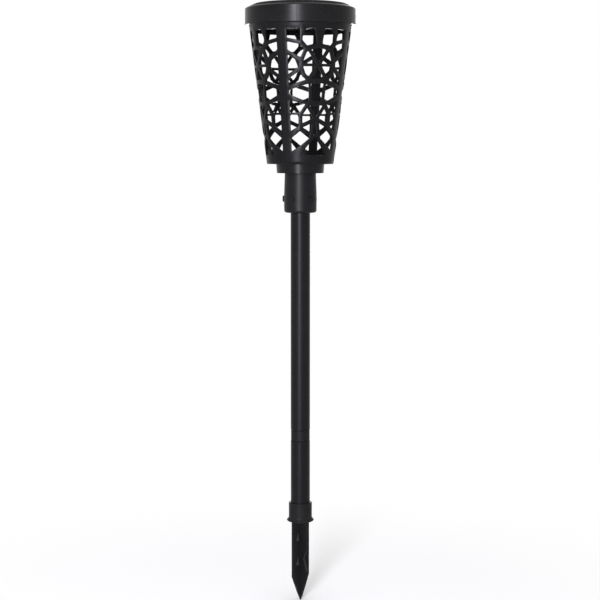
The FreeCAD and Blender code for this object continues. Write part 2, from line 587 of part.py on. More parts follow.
cap = cap.cut(cyl(WIRE_HOLE_R, CAP_CEILING - 1, POCKET_FLOOR + 1, WIRE_HOLE_X, WIRE_HOLE_Y))
save(cap, "cap_shell")

# ================================================================ solar panel, its pad and its window
pw = PANEL_W / 2
pad_top = POCKET_FLOOR + PAD_T
pad = box(-pw, pw, -pw, pw, POCKET_FLOOR, pad_top).cut(cyl(WIRE_HOLE_R, POCKET_FLOOR - 1, pad_top + 1, WIRE_HOLE_X, WIRE_HOLE_Y))
save(pad, "panel_pad")
panel = box(-pw, pw, -pw, pw, pad_top, pad_top + PANEL_T)
save(panel, "solar_panel")
ww = POCKET_W / 2 - TRIM_FIT
window_plate = box(-ww, ww, -ww, ww, pad_top + PANEL_T, CAP_TOP)
save(window_plate, "panel_window")

# ================================================================ light tray
plate_top = PLATE_TOP
tray = turned([(0, TRAY_FOOT), (TRAY_R - TRAY_EDGE, TRAY_FOOT), (TRAY_R, TRAY_FOOT + TRAY_EDGE), (TRAY_R, TRAY_TOP), (TRAY_R - TRAY_WALL, TRAY_TOP),
               (TRAY_R - TRAY_WALL, plate_top), (0, plate_top)])
for a in TRAY_SCREW_AZ:
    p = az(a, TRAY_SCREW_RING)
    tray = tray.fuse(cyl(TRAY_BOSS_R, plate_top - MERGE, TRAY_BOSS_TOP, p.x, p.y))
# battery bay with end walls that hold the contacts
bx, by = BAT_BAY_L / 2, BAT_BAY_W / 2
end_t = BAY_WALL
wall_h = BAT_Z + CONTACT_H / 2 - 2.5
out_y = by + BAY_WALL
for sx in (-1, 1):
    x0 = sx * (bx + CONTACT_T + TRIM_FIT)
    x1 = x0 + sx * end_t
    tray = tray.fuse(box(min(x0, x1), max(x0, x1), BAT_Y - out_y, BAT_Y + out_y, plate_top - MERGE, wall_h))
for sy in (-1, 1):
    y0 = BAT_Y + sy * by
    y1 = y0 + sy * BAY_WALL
    tray = tray.fuse(box(-bx - CONTACT_T - TRIM_FIT - MERGE, bx + CONTACT_T + TRIM_FIT + MERGE, min(y0, y1), max(y0, y1), plate_top - MERGE, wall_h - 3.0))
tray = tray.cut(box(-bx, bx, BAT_Y - by, BAT_Y + by, TRAY_FOOT - 1, plate_top + MERGE))
# recess and boss for the door's screw tab
tray = tray.cut(box(bx - MERGE, bx + DOOR_TAB_L, BAT_Y - DOOR_TAB_W / 2, BAT_Y + DOOR_TAB_W / 2, TRAY_FOOT - 1, TRAY_FOOT + DOOR_TAB_T))
tray = tray.fuse(cyl(DOOR_BOSS_R, TRAY_FOOT + DOOR_TAB_T, TRAY_FOOT + DOOR_TAB_T + DOOR_BOSS_H, DOOR_SCREW_X, BAT_Y))
tray = tray.cut(cyl(DOOR_SCREW_R + SCREW_FIT, TRAY_FOOT - 1, TRAY_FOOT + DOOR_SCREW_LEN + SCREW_SPARE, DOOR_SCREW_X, BAT_Y))
# board posts and the light's sleeve
for sx in (-1, 1):
    for sy in (-1, 1):
        tray = tray.fuse(cyl(BOARD_POST_R, plate_top - MERGE, BOARD_Z, sx * (BOARD_X / 2 - BOARD_POST_IN), BOARD_CY + sy * (BOARD_Y / 2 - BOARD_POST_IN)))
tray = tray.fuse(cyl(LED_SLEEVE_R, plate_top - MERGE, LED_SLEEVE_TOP))
tray = tray.cut(cyl(LED_R + TRIM_FIT, TRAY_FOOT - 1, LED_SLEEVE_TOP + 1))
# slot for the switch's knob
tray = tray.cut(box(SWITCH_X - SWITCH_SLOT_L / 2, SWITCH_X + SWITCH_SLOT_L / 2, SWITCH_Y - SWITCH_SLOT_W / 2,
                    SWITCH_Y + SWITCH_SLOT_W / 2, TRAY_FOOT - 1, plate_top + 1))
for a in TRAY_SCREW_AZ:
    p = az(a, TRAY_SCREW_RING)
    tray = tray.cut(cyl(TRAY_SCREW_HEAD_R + HEAD_FIT, TRAY_FOOT - 1, SCREW_SEAT, p.x, p.y))
    tray = tray.cut(cyl(TRAY_SCREW_R + SCREW_FIT, TRAY_FOOT - 1, TRAY_BOSS_TOP + 1, p.x, p.y))
save(tray, "light_tray")

tray_screws = []
for a in TRAY_SCREW_AZ:
    s = screw(TRAY_SCREW_R, TRAY_SCREW_LEN, TRAY_SCREW_HEAD_R, TRAY_SCREW_HEAD_H)
    s.rotate(V(0, 0, 0), V(1, 0, 0), 180)
    s.translate(az(a, TRAY_SCREW_RING, SCREW_SEAT))
    tray_screws.append(s)
save(Part.makeCompound(tray_screws), "tray_screws")

# ================================================================ battery door and its screw
dl = bx - TRIM_FIT
door = box(-dl, dl, BAT_Y - by + TRIM_FIT, BAT_Y + by - TRIM_FIT, TRAY_FOOT, plate_top)
door = door.fuse(box(dl - MERGE, bx + DOOR_TAB_L - TRIM_FIT, BAT_Y - DOOR_TAB_W / 2 + TRIM_FIT, BAT_Y + DOOR_TAB_W / 2 - TRIM_FIT,
                     TRAY_FOOT, TRAY_FOOT + DOOR_TAB_T))
cradle = box(-CRADLE_L / 2, CRADLE_L / 2, BAT_Y - CRADLE_W / 2, BAT_Y + CRADLE_W / 2, plate_top - MERGE, plate_top + CRADLE_H)
bat_hole = Part.makeCylinder(BAT_R, CRADLE_L + 2, V(-CRADLE_L / 2 - 1, BAT_Y, BAT_Z), V(1, 0, 0))
door = door.fuse(cradle.cut(bat_hole))
door = door.cut(cyl(DOOR_SCREW_R + SCREW_FIT, TRAY_FOOT - 1, plate_top, DOOR_SCREW_X, BAT_Y))
save(door, "battery_door")
s = screw(DOOR_SCREW_R, DOOR_SCREW_LEN, DOOR_SCREW_HEAD_R, DOOR_SCREW_HEAD_H)
s.rotate(V(0, 0, 0), V(1, 0, 0), 180)
s.translate(V(DOOR_SCREW_X, BAT_Y, TRAY_FOOT))
save(s, "door_screw")

# ================================================================ battery and contacts
xb0 = -bx - TRIM_FIT + SPRING_ROOM + 0.3
can = Part.makeCylinder(BAT_R, BAT_LEN, V(xb0, BAT_Y, BAT_Z), V(1, 0, 0))
can = can.makeFillet(BAT_EDGE, can.Edges[0:1] + can.Edges[2:3])
nib = Part.makeCylinder(BAT_NIB_R, BAT_NIB + MERGE, V(xb0 + BAT_LEN - MERGE, BAT_Y, BAT_Z), V(1, 0, 0))
save(can.fuse(nib), "battery")
x_plus = xb0 + BAT_LEN + BAT_NIB
x_wall = bx + CONTACT_T + TRIM_FIT
contact_top = BAT_Z + CONTACT_H / 2
contact_foot = BAT_Z - CONTACT_H / 2 - CONTACT_LEG
plus = box(x_plus, x_wall, BAT_Y - CONTACT_W / 2, BAT_Y + CONTACT_W / 2, contact_foot, contact_top)
hollow = box(x_plus + CONTACT_T, bx + TRIM_FIT, BAT_Y - CONTACT_W, BAT_Y + CONTACT_W, BAT_Z - CONTACT_H / 3, BAT_Z + CONTACT_H / 3)
save(plus.cut(hollow), "contact_plus")
minus = box(-x_wall, -bx - TRIM_FIT, BAT_Y - CONTACT_W / 2, BAT_Y + CONTACT_W / 2, contact_foot, contact_top)
save(minus, "contact_minus")
pitch = (xb0 - (-bx - TRIM_FIT) - 2 * SPRING_WIRE) / SPRING_TURNS
helix = Part.makeHelix(pitch, pitch * SPRING_TURNS, SPRING_R)
prof = Part.Wire([Part.makeCircle(SPRING_WIRE, V(SPRING_R, 0, 0), V(0, 1, 0))])
coil = Part.Wire(helix).makePipeShell([prof], True, True)
coil.rotate(V(0, 0, 0), V(0, 1, 0), 90)
coil.translate(V(-bx - TRIM_FIT + SPRING_WIRE, BAT_Y, BAT_Z))
save(coil, "contact_spring")

# ================================================================ circuit board and what it carries
board = box(-BOARD_X / 2, BOARD_X / 2, BOARD_CY - BOARD_Y / 2, BOARD_CY + BOARD_Y / 2, BOARD_Z, BOARD_TOP)
save(board, "circuit_board")
led = cyl(LED_R, LED_TIP + LED_R, LED_SLEEVE_TOP)
led = led.fuse(Part.makeSphere(LED_R, V(0, 0, LED_TIP + LED_R)))
led = led.fuse(cyl(LED_FLANGE_R, LED_SLEEVE_TOP, LED_SLEEVE_TOP + LED_FLANGE_H))
for sx in (-1, 1):
    lx = sx * LED_LEG_PITCH / 2
    led = led.fuse(box(lx - LED_LEG / 2, lx + LED_LEG / 2, -LED_LEG / 2, LED_LEG / 2, LED_SLEEVE_TOP + LED_FLANGE_H - MERGE, BOARD_Z))
save(led, "led")
save(box(CHIP_X, CHIP_X + CHIP_L, CHIP_Y, CHIP_Y + CHIP_W, BOARD_TOP, BOARD_TOP + CHIP_H), "driver_chip")
save(cyl(COIL_R, BOARD_TOP, BOARD_TOP + COIL_H, COIL_X, COIL_Y), "coil")
slot_y = SWITCH_SLOT_W / 2
switch = box(SWITCH_X - SWITCH_L / 2, SWITCH_X + SWITCH_L / 2, SWITCH_Y - SWITCH_W / 2, SWITCH_Y + SWITCH_W / 2, PLATE_TOP, BOARD_Z)
cav = box(SWITCH_X - SWITCH_SLOT_L / 2, SWITCH_X + SWITCH_SLOT_L / 2, SWITCH_Y - slot_y, SWITCH_Y + slot_y, PLATE_TOP - 1, PLATE_TOP + SWITCH_ROOM)
save(switch.cut(cav), "switch_body")
# knob in the off position, at the slot's left end
xk = SWITCH_X - SWITCH_SLOT_L / 2 + KNOB_STEM_L / 2 + KNOB_END
knob = box(xk - KNOB_STEM_L / 2, xk + KNOB_STEM_L / 2, SWITCH_Y - KNOB_STEM_W / 2, SWITCH_Y + KNOB_STEM_W / 2,
           TRAY_FOOT - RUN_FIT, PLATE_TOP + SWITCH_ROOM - KNOB_END)
knob = knob.fuse(box(xk - KNOB_HEAD_L / 2, xk + KNOB_HEAD_L / 2, SWITCH_Y - KNOB_HEAD_W / 2, SWITCH_Y + KNOB_HEAD_W / 2,
                     TRAY_FOOT - KNOB_UNDER, TRAY_FOOT - RUN_FIT))
save(knob, "switch_knob")


# ================================================================ wires
def wire(points):
    """Round wire along straight runs, with a bend at each corner."""
    pts = [V(*p) for p in points]
    start, path = pts[0], []
    for a, b, c in zip(pts, pts[1:], pts[2:]):
        back, on = (a - b).normalize(), (c - b).normalize()
        half = back.getAngle(on) / 2.0
        inward = (back + on).normalize()
        reach = WIRE_BEND / tan(half)
        crown = b + inward * (WIRE_BEND / sin(half) - WIRE_BEND)
        path.append(Part.makeLine(start, b + back * reach))
        path.append(Part.Arc(b + back * reach, crown, b + on * reach).toShape())
        start = b + on * reach
    path.append(Part.makeLine(start, pts[-1]))
    ring = Part.Wire([Part.makeCircle(WIRE_R, pts[0], pts[1] - pts[0])])
    return Part.Wire(path).makePipeShell([ring], True, False)


pad_top_z = POCKET_FLOOR + PAD_T
for name, dx in (("panel_wire_red", WIRE_APART), ("panel_wire_black", -WIRE_APART)):
    x, y = WIRE_HOLE_X + dx, WIRE_HOLE_Y
    x1, y1 = -BOARD_X / 2 + BOARD_POST_IN * 1.6 + dx, BOARD_CY + BOARD_Y / 2 - BOARD_POST_IN * 1.25
    z_in = CAP_CEILING - WIRE_DROP
    save(wire([(x, y, pad_top_z), (x, y, z_in), (x1, y1, z_in - 2.0), (x1, y1, BOARD_TOP)]), name)
for name, sx, px in (("battery_wire_red", 1, x_plus + CONTACT_T / 2), ("battery_wire_black", -1, -x_wall + CONTACT_T / 2)):
    save(wire([(px, BAT_Y, contact_top), (px, BAT_Y, contact_top + 1.6), (px, BAT_Y + out_y + 1.5, contact_top + 1.2),
               (sx * WIRE_PAD_X, WIRE_PAD_Y, BOARD_TOP + 2.0), (sx * WIRE_PAD_X, WIRE_PAD_Y, BOARD_TOP)]), name)
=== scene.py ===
import bpy
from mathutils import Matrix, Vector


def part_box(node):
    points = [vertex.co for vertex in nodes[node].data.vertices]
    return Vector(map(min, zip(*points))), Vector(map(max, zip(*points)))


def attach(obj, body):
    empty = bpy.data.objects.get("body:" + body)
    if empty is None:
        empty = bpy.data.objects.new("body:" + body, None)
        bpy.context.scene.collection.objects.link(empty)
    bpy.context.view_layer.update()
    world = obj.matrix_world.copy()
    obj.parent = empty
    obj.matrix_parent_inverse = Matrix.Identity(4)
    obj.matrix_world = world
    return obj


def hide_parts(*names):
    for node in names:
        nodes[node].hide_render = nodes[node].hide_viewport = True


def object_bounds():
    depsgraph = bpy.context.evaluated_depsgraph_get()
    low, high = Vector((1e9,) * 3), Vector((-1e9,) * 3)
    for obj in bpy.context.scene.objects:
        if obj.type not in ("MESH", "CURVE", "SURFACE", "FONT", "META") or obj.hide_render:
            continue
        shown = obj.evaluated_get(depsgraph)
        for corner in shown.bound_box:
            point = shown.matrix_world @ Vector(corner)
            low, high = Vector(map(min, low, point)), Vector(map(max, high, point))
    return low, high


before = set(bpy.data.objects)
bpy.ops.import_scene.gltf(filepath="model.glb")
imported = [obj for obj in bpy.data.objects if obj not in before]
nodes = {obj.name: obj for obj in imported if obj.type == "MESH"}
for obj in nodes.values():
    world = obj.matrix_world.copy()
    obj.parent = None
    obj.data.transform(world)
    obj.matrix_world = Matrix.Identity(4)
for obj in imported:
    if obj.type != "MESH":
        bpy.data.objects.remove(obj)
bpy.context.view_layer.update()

import bpy, bmesh
import numpy as np
from math import sin, cos, pi, radians, hypot
from mathutils import Vector, Matrix
from mathutils.geometry import delaunay_2d_cdt

MM = 0.001
PER_METRE = 1000.0      # millimetres
scene = bpy.context.scene


# ---------------------------------------------------------------- shader expressions
class Value:
    """A socket that ordinary arithmetic works on: each operation adds one Math node."""
    def __init__(self, tree, socket):
        self.tree, self.socket = tree, socket

    def math(self, operation, *others):
        """The Math node of that operation, on this value and the others."""
        return self.tree.node("ShaderNodeMath", dict(enumerate((self,) + others)), operation=operation)

    def __add__(self, o): return self.math("ADD", o)
    def __sub__(self, o): return self.math("SUBTRACT", o)
    def __mul__(self, o): return self.math("MULTIPLY", o)
    def __truediv__(self, o): return self.math("DIVIDE", o)
    def __rsub__(self, o): return (self * -1.0) + o
    __radd__, __rmul__ = __add__, __mul__
    def abs(self): return self.math("ABSOLUTE")
    def max(self, o): return self.math("MAXIMUM", o)
    def below(self, o): return self.math("LESS_THAN", o)
    def above(self, o): return self.math("GREATER_THAN", o)
    def fraction(self): return self.math("FRACT")

    def step(self, a, b, low=0.0, high=1.0):
        """Smooth change from low to high as the value goes from a to b."""
        return self.tree.node("ShaderNodeMapRange", dict(enumerate((self, a, b, low, high))),
                              interpolation_type="SMOOTHSTEP")

    def band(self, at, half, soft):
        """1 within half of at, falling to 0 over soft."""
        return (self - at).abs().step(half, half + soft, 1.0, 0.0)


class Tree:
    """A node tree; node() adds a node of any kind, its settings first, then its sockets' values or links."""
    def __init__(self, owner):
        owner.use_nodes = True
        self.tree = owner.node_tree

    def put(self, socket, value):
        """Links a Value to the socket, or sets its constant."""
        if isinstance(value, Value):
            self.tree.links.new(value.socket, socket)
        elif isinstance(value, (tuple, list)) and len(value) == 3 and len(socket.default_value) == 4:
            socket.default_value = (*value, 1)
        else:
            socket.default_value = value

    def node(self, kind, sockets=None, out=0, **settings):
        """A new node, as a Value on its output out."""
        node = self.tree.nodes.new(kind)
        for name, value in settings.items():
            setattr(node, name, value)
        for name, value in (sockets or {}).items():
            self.put(node.inputs[name], value)
        return Value(self, node.outputs[out])

    def mix(self, factor, a, b):
        """Colour between a and b."""
        return self.node("ShaderNodeMix", {0: factor, 6: a, 7: b}, out=2, data_type="RGBA")


class Finish(Tree):
    """A material: one Principled shader, with object coordinates and textures in millimetres."""
    def __init__(self, name, colour, rough, **sockets):
        self.material = bpy.data.materials.new(name)
        super().__init__(self.material)
        self.shader = self.tree.nodes["Principled BSDF"].inputs
        for socket, value in {"Base Color": colour, "Roughness": rough, **sockets}.items():
            self.put(self.shader[socket.replace("_", " ")], value)
        self.place = self.node("ShaderNodeTexCoord", out="Object")
        self.x, self.y, self.z = (
            self.node("ShaderNodeSeparateXYZ", {0: self.place}, out=i) * PER_METRE for i in range(3))

    def set(self, **sockets):
        """Sets or links sockets of the shader, with _ for a space in their names."""
        for socket, value in sockets.items():
            self.put(self.shader[socket.replace("_", " ")], value)
        return self

    def azimuth(self):
        """Degrees round Z, 0 at the front, positive to +X."""
        return self.x.math("ARCTAN2", self.y * -1.0) * (180.0 / pi)

    def vector(self, x, y, z):
        """Three values as one vector."""
        return self.node("ShaderNodeCombineXYZ", {0: x, 1: y, 2: z})

    def noise(self, size, detail=3.0, rough=0.55, at=None):
        """Noise from about 0.3 to 0.7, with features about size millimetres across."""
        scale = (1.0 if at else PER_METRE) / size
        return self.node("ShaderNodeTexNoise", {"Vector": at or self.place, "Scale": scale, "Detail": detail,
                                                "Roughness": rough})

    def patches(self):
        """The slow changes over a large moulding, a few centimetres across."""
        return self.noise(38.0, 4.0, 0.6)

    def cells(self, size):
        """Distance from scattered points about size millimetres apart, from 0 up to about 0.9."""
        return self.node("ShaderNodeTexVoronoi", {"Vector": self.place, "Scale": PER_METRE / size})

    def relief(self, height, strength=1.0, edge=0.0):
        """Bump from a height in millimetres; edge is the radius that corners are softened to."""
        sockets = {"Strength": strength, "Distance": MM, "Height": height}
        if edge:
            sockets["Normal"] = self.node("ShaderNodeBevel", {"Radius": edge * MM}, samples=6)
        return self.set(Normal=self.node("ShaderNodeBump", sockets))


def tint(colour, k):
    """The colour times k, at most 1."""
    return tuple(min(1.0, v * k) for v in colour)


# ---------------------------------------------------------------- finishes
COLLAR_H = 9.7          # the collar on top of the neck
CAP_DOME = 5.1          # the roof, above the cap's upright wall
COLLAR_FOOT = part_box("neck")[1].z / MM - COLLAR_H
CAP_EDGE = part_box("cap_shell")[1].z / MM - CAP_DOME
GREY = (0.0054, 0.0050, 0.0056)         # the moulded parts and the tubes' paint
SPIKE_GREY = (0.0079, 0.0074, 0.0080)
PAINTED_TOP_LIGHT = (0.024, 0.0235, 0.0235)         # painted light on the spike's upward faces
CAP_ROUGH, ROOF_ROUGHER = 0.27, 0.68
NECK_ROUGH, COLLAR_SMOOTHER = 0.42, 0.12


def moulded(name, colour, rough, gloss=0.09, grain=0.012, dust=0.25, lines=(), edge=0.35):
    """Moulded plastic: fine grain, slow changes of gloss, a little dust, and parting lines, each with an
    azimuth, a width and a lift."""
    m = Finish(name, colour, rough, Specular_IOR_Level=gloss)
    slow = m.patches()
    fine = m.noise(0.35, 2.0, 0.6)
    scuff = m.noise(3.0, 5.0, 0.65, m.vector(m.x * 0.8, m.y * 0.8, m.z * 0.25)).step(0.60, 0.74)
    shade = m.mix(slow.step(0.35, 0.65), tint(colour, 0.88), tint(colour, 1.14))
    m.set(Base_Color=m.mix(scuff * dust, shade, tuple(v * 1.5 + 0.006 for v in colour)))
    duller = slow.step(0.3, 0.7, rough - 0.035, rough + 0.035)
    m.set(Roughness=duller + fine * 0.06 - 0.03 + scuff * 0.06 * dust)
    height = fine * grain + slow * 0.05
    for at, width, lift in lines:
        height = height + m.azimuth().band(at, width * 0.5, width * 0.6) * lift
    return m.relief(height, 0.8, edge)


def cap_plastic():
    """As the other mouldings, with a matt roof above a smoother rim."""
    m = moulded("cap_plastic", GREY, CAP_ROUGH, 0.115, lines=((-3.6, 0.35, 0.05),))
    roof = m.z.step(CAP_EDGE, CAP_EDGE + 3.0)
    gloss = m.patches().step(0.3, 0.7, -0.03, 0.03)
    return m.set(Roughness=roof * ROOF_ROUGHER + CAP_ROUGH + gloss)


def neck_plastic():
    """As the other mouldings, with a glossier collar above a duller neck."""
    m = moulded("neck_plastic", GREY, NECK_ROUGH, 0.115, lines=((9.0, 0.5, 0.03), (-171.0, 0.5, 0.03)))
    collar = m.z.step(COLLAR_FOOT - 0.5, COLLAR_FOOT + 0.5)
    gloss = m.patches().step(0.3, 0.7, -0.03, 0.03)
    return m.set(Roughness=collar * -COLLAR_SMOOTHER + NECK_ROUGH + gloss)


def spike_plastic():
    """Duller moulding, with painted light, in patches, on the faces that look upward."""
    m = moulded("spike_plastic", SPIKE_GREY, 0.44, 0.07, grain=0.006)
    facing = m.node("ShaderNodeNewGeometry", out="Normal")
    upward = m.node("ShaderNodeSeparateXYZ", {0: facing}, out="Z").step(0.12, 0.40)
    patch = m.noise(6.0).step(0.3, 0.6, 0.6, 1.0)
    plastic = m.mix(m.patches().step(0.35, 0.65), tint(SPIKE_GREY, 0.9), tint(SPIKE_GREY, 1.12))
    below = m.z.step(-1.0, -4.0)            # only the blades, not the socket above the flange
    # painted light from above: the blades' upward faces get a lighter colour in patches
    return m.set(Base_Color=m.mix(upward * patch * below, plastic, PAINTED_TOP_LIGHT))


def painted(name, colour, rough, gloss):
    """Powder-coated tube: fine orange peel, faint lengthwise draw marks, a few rubbed specks."""
    m = Finish(name, colour, rough, Specular_IOR_Level=gloss)
    peel = m.noise(0.55, 2.0, 0.5)
    slow = m.noise(60.0, 3.0, 0.6)
    draw = m.noise(1.0, 3.0, 0.6, m.vector(m.azimuth() * 0.25, 0.0, m.z * 0.006))
    speck = m.cells(2.3).step(0.05, 0.11, 1.0, 0.0) * m.noise(17.0).step(0.52, 0.6)
    shade = m.mix(slow.step(0.35, 0.65), tint(colour, 0.90), tint(colour, 1.12))
    m.set(Base_Color=m.mix(speck * 0.3, shade, (0.05, 0.05, 0.052)))
    m.set(Roughness=slow.step(0.3, 0.7, rough - 0.03, rough + 0.03) + draw * 0.05 - 0.025)
    return m.relief(peel * 0.012 + draw * 0.02, 0.7, 0.2)


def steel(name, colour, rough):
    """Plated steel: gloss and colour vary a little."""
    m = Finish(name, colour, rough, Metallic=1.0)
    m.set(Roughness=m.noise(0.5).step(0.3, 0.7, rough - 0.08, rough + 0.1))
    m.set(Base_Color=m.mix(m.noise(2.0), tint(colour, 0.85), colour))
    return m.relief(m.noise(0.25, 2.0) * 0.01)


def plain(name, colour, rough, patch, grain, lift, spread=0.2, **sockets):
    """One colour that varies by spread over patches, with a grain that stands lift high."""
    m = Finish(name, colour, rough, **sockets)
    m.set(Base_Color=m.mix(m.noise(patch), tint(colour, 1.0 - spread), tint(colour, 1.0 + spread)))
    return m.relief(m.noise(grain) * lift)


def solar_cells(cell=13.4, gap=0.6):
    """Dark blue wafers in a square grid, each with fine fingers and two busbars, on a dark board."""
    m = Finish("solar_cells", (0.012, 0.025, 0.100), 0.35, Coat_Weight=1.0, Coat_Roughness=0.08)
    pitch = cell + gap
    across = (m.x / pitch + 10.0).fraction() * pitch
    along = (m.y / pitch + 10.0).fraction() * pitch
    inside = (across - pitch / 2).abs().below(cell / 2) * (along - pitch / 2).abs().below(cell / 2)
    fingers = (m.y / 1.1).fraction().below(0.13)
    bars = (across - pitch * 0.28).abs().below(0.45).max((across - pitch * 0.72).abs().below(0.45))
    silver = fingers.max(bars) * inside
    wafer = m.mix(m.cells(3.2).step(0.0, 0.8), (0.008, 0.020, 0.085), (0.018, 0.045, 0.170))
    board = m.mix(inside, (0.012, 0.012, 0.013), wafer)
    return m.set(Base_Color=m.mix(silver, board, (0.30, 0.31, 0.33)), Roughness=silver * 0.1 + 0.32)


def window_acrylic():
    """Clear acrylic with a faint weathered haze."""
    m = Finish("window_acrylic", (0.93, 0.95, 0.97), 0.04, Transmission_Weight=1.0)
    m.set(Roughness=m.noise(9.0, 5.0, 0.7).step(0.45, 0.75, 0.02, 0.10))
    return m.relief(m.noise(14.0, 2.0) * 0.02, 0.5)


def cell_sleeve():
    """Green shrink sleeve of the rechargeable cell, with one pale band."""
    m = Finish("cell_sleeve", (0.06, 0.22, 0.10), 0.25, Coat_Weight=0.4)
    green = m.mix(m.noise(6.0), (0.05, 0.20, 0.09), (0.07, 0.25, 0.11))
    m.set(Base_Color=m.mix(m.x.band(16.0, 5.5, 0.1), green, (0.75, 0.75, 0.73)))
    return m.relief(m.noise(5.0) * 0.03)


def board_mask():
    """Green solder mask with tracks in both directions under it."""
    m = Finish("board_mask", (0.01, 0.10, 0.03), 0.3, Coat_Weight=0.3)
    patch = m.noise(7.0)
    tracks = ((m.x / 2.4).fraction().below(0.22) * patch.above(0.5)).max(
        (m.y / 2.4).fraction().below(0.22) * patch.below(0.47))
    m.set(Base_Color=m.mix(tracks, (0.008, 0.085, 0.028), (0.02, 0.16, 0.055)))
    return m.relief(tracks * 0.03)


FINISHES = (
    (cap_plastic(), ["cap_shell"]),
    (neck_plastic(), ["neck"]),
    (spike_plastic(), ["spike"]),
    (moulded("coupler_plastic", GREY, 0.46, 0.09, grain=0.006), ["tube_coupler"]),
    (moulded("tray_plastic", (0.008, 0.008, 0.0085), 0.75, 0.03), ["light_tray", "battery_door"]),
    (moulded("knob_plastic", (0.03, 0.03, 0.032), 0.4), ["switch_knob"]),
    (moulded("black_plastic", (0.012, 0.012, 0.012), 0.5, edge=0.1), ["driver_chip", "coil", "switch_body"]),
    (painted("pole_paint", GREY, 0.37, 0.09), ["lower_tube", "upper_tube"]),
    (steel("screw_zinc", (0.55, 0.55, 0.54), 0.32), ["neck_screws", "tray_screws", "door_screw"]),
    (steel("contact_nickel", (0.62, 0.61, 0.58), 0.28), ["contact_plus", "contact_minus", "contact_spring"]),
    (solar_cells(), ["solar_panel"]),
    (window_acrylic(), ["panel_window"]),
    (plain("pad_foam", (0.02, 0.02, 0.02), 0.9, 2.0, 0.3, 0.08), ["panel_pad"]),
    (cell_sleeve(), ["battery"]),
    (board_mask(), ["circuit_board"]),
    (plain("led_epoxy", (0.95, 0.93, 0.85), 0.08, 3.0, 2.0, 0.01, 0.02, Transmission_Weight=0.85), ["led"]),
    (plain("wire_red", (0.35, 0.012, 0.01), 0.4, 3.0, 1.0, 0.02), ["panel_wire_red", "battery_wire_red"]),
    (plain("wire_black", (0.012, 0.012, 0.012), 0.4, 3.0, 1.0, 0.02),
     ["panel_wire_black", "battery_wire_black"]),
)
for finish, names in FINISHES:
    for name in names:
        nodes[name].data.materials.clear()
        nodes[name].data.materials.append(finish.material)
basket_finish = moulded("basket_plastic", GREY, 0.31, 0.08, lines=((-22.5, 0.3, 0.03),), edge=0.0)

# ---------------------------------------------------------------- basket
# One moulding with softened edges: four fretwork panels round a cone, its floor and its rim.
# Millimetres, and degrees from a panel's middle; heights are from the basket's foot.
BASKET_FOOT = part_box("basket")[0].z / MM
R_FOOT, SLOPE, WALL, FLOOR_T = 35.75, 0.1278, 2.2, 2.2
BAND_LOW, BAND_TOP, CONE_TOP = 9.5, 139, 146.1
RIM_R, RIM_LEDGE, RIM_TOP, RIM_WALL = R_FOOT + SLOPE * CONE_TOP + 0.96, CONE_TOP + 1.0, CONE_TOP + 5.5, 2.4
PANELS, PANEL_MID = 4, 23.0
HALF = 180.0 / PANELS
RIB_LOW, RIB_TOP = 4.9, 5.7
KEY_NOTCH, KEY_FOOT = (204.5, 210.5), BAND_TOP - 0.5
EDGE = 0.22            # rounding of every edge
FILLET = 1.1           # softening where struts meet
BEND = 0.29            # how far a rounding has sunk halfway round, of its radius
SMALLEST = 2.5         # mm2 of the smallest opening
STRAY, LONGEST = 0.035, 2.6            # how far an outline may stray, and its longest run
FLAT_AT = 70.0         # height whose scale a panel is laid flat with
FLOOR_RINGS = (26.0, 14.0, 3.0)        # radii that divide the floor
# Struts of a half panel: degrees and height of one end, width there, and the same for the other end.
STRUTS = (
    (22.5, 124.8, 3.9, 41, 128.1, 3.9), (22.8, 125.5, 5.1, 15, 118.1, 4.7),
    (15.5, 118.4, 4.1, 4.5, 120.9, 3.9),
    (5, 120.9, 3.9, 0, 121.4, 3.9), (13, 118.5, 3.5, 0.5, 102.3, 3.5), (16.2, 118.5, 4.1, 22, 106, 4.3),
    (0, 102, 2.7, 22.5, 102.2, 3.1), (21.8, 109.5, 4.5, 22.8, 98, 4.5), (22, 106.5, 4.9, 41, 116.4, 4.1),
    (22.2, 99.5, 4.1, 41, 88.9, 3.9), (22.2, 100.5, 4.1, 18.2, 91.1, 4.1), (18.4, 91.7, 4.1, 12.6, 87.1, 3.9),
    (12.5, 87.5, 3.5, 0.5, 102.3, 3.5), (0, 85.9, 4.5, 13, 85.7, 4.7), (11.5, 85.8, 4.7, 41, 78.4, 4.9),
    (9.6, 63.5, 3.1, 9.8, 74.5, 2.9), (9.8, 74.5, 2.9, 11.2, 85.5, 2.2), (41, 70.1, 6.3, 20, 64.7, 3.5),
    (20.5, 64.8, 3.5, 10, 63.1, 3.9), (0, 63, 4.3, 12, 63, 4.3), (12.8, 62.5, 3.9, 22.6, 51.5, 4.1),
    (13.4, 61.5, 3.3, 2.5, 48.5, 3.3), (22.5, 52.4, 2.3, 41, 52.4, 2.3), (22.6, 53, 3.9, 22.8, 38.5, 3.9),
    (23, 39.5, 4.3, 0, 46.9, 4.1), (21.8, 38.4, 4.9, 41, 29.3, 6.9), (2, 48.5, 3.1, 6.5, 27.5, 3.1),
)
WEBS = (
    ((23.6, 140.1), (16.2, 140.1), (20.4, 130), (20.8, 124.5), (23.4, 124.5)),
    ((0, 140.1), (6.1, 140.1), (3.2, 123.5), (2.8, 120.5), (0, 120.5)),
    ((0, 31.5), (8, 27.5), (23, 19.5), (38.3, 13), (45, 8.1), (22, 8.1), (15.6, 15.8), (9.2, 21.4),
     (0, 28.5)),
    ((12.5, 117.1), (14, 115.7), (16.2, 116.5), (17.2, 119.5), (15, 121.1), (12.6, 120.5)),
)


def cone_r(h):
    """Radius of the cone's outside at height h: it grows evenly with height."""
    return R_FOOT + SLOPE * h


def per_degree(h):
    """Millimetres round the cone for one degree, at height h."""
    return pi / 180.0 * cone_r(h)


def joined(a, b):
    """Union of two distances, with a fillet where they meet."""
    t = np.maximum(FILLET - np.abs(a - b), 0.0) / FILLET
    return np.minimum(a, b) - t * t * FILLET * 0.25


